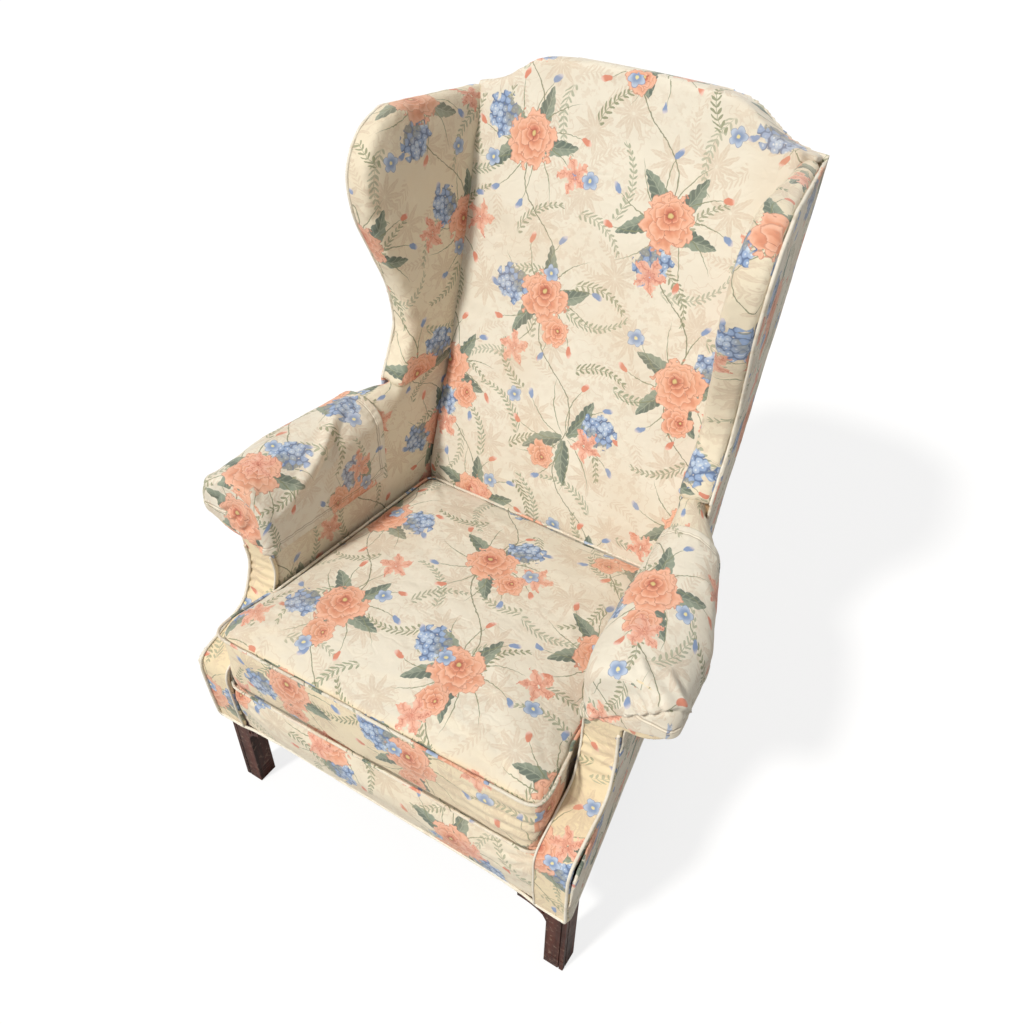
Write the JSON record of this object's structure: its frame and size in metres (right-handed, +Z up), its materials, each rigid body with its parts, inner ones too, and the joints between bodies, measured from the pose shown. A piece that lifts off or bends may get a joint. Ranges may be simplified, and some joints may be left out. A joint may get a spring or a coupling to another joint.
{
  "type": "upholstered wing armchair",
  "caption": "Upholstered wing chair on square front legs, with a loose boxed seat cushion and loose arm covers that lift off.",
  "frame": {"origin": "centre of the bounding box at floor level", "axes": "+Z up, -Y towards the front of the chair, +X to the right of someone who faces the chair"},
  "size_m": [0.8222, 0.7699, 1.124],
  "materials": {
    "mahogany": "dark stained and polished, worn at the feet",
    "beech": "raw frame timber",
    "chintz": "glazed cotton with a printed flower pattern",
    "chintz_outside": "the same glazed cotton on the outside panels",
    "welt": "cream piping",
    "webbing": "woven jute",
    "hessian": "coarse jute cloth",
    "filling": "felted cotton and down in a ticking",
    "spring_steel": "coppered wire, dull",
    "screw_steel": "zinc plated",
    "cambric": "black dust cloth"
  },
  "bodies": {
    "chair": {"front_rail": "beech", "back_rail": "beech", "left_side_rail": "beech", "right_side_rail": "beech", "corner_blocks": "beech", "corner_block_screws": "screw_steel", "left_front_leg": "mahogany", "right_front_leg": "mahogany", "left_leg_bracket": "mahogany", "right_leg_bracket": "mahogany", "left_rear_leg": "mahogany", "right_rear_leg": "mahogany", "left_back_post": "beech", "right_back_post": "beech", "crest_rail": "beech", "lower_back_rail": "beech", "left_arm_stump": "beech", "right_arm_stump": "beech", "left_arm_rail": "beech", "right_arm_rail": "beech", "left_wing_post": "beech", "right_wing_post": "beech", "left_wing_rail": "beech", "right_wing_rail": "beech", "seat_webbing": "webbing", "seat_springs": "spring_steel", "spring_hessian": "hessian", "deck_pad": "filling", "front_border": "chintz", "dust_cover": "cambric", "back_webbing": "webbing", "back_hessian": "hessian", "inside_back_pad": "chintz", "outside_back_panel": "chintz_outside", "left_inside_wing_pad": "chintz", "right_inside_wing_pad": "chintz", "left_outside_wing_panel": "chintz_outside", "right_outside_wing_panel": "chintz_outside", "left_arm_roll": "chintz", "right_arm_roll": "chintz", "left_inside_arm_panel": "chintz", "right_inside_arm_panel": "chintz", "left_outside_arm_panel": "chintz_outside", "right_outside_arm_panel": "chintz_outside", "left_arm_front_panel": "chintz", "right_arm_front_panel": "chintz", "left_arm_front_welts": "welt", "right_arm_front_welts": "welt", "left_wing_welt": "welt", "right_wing_welt": "welt", "bottom_welt": "welt"},
    "seat_cushion": {"cushion_core": "filling", "cushion_cover": "chintz", "cushion_welts": "welt"},
    "left_cover": {"left_arm_cover": "chintz"},
    "right_cover": {"right_arm_cover": "chintz"}
  },
  "joints": [
    {"name": "cushion_lift", "type": "slide", "parent": "chair", "child": "seat_cushion", "axis": [0, 0, 1], "range_m": [0, 0.3]},
    {"name": "left_cover_lift", "type": "slide", "parent": "chair", "child": "left_cover", "axis": [0, 0, 1], "range_m": [0, 0.2]},
    {"name": "right_cover_lift", "type": "slide", "parent": "chair", "child": "right_cover", "axis": [0, 0, 1], "range_m": [0, 0.2]}
  ]
}
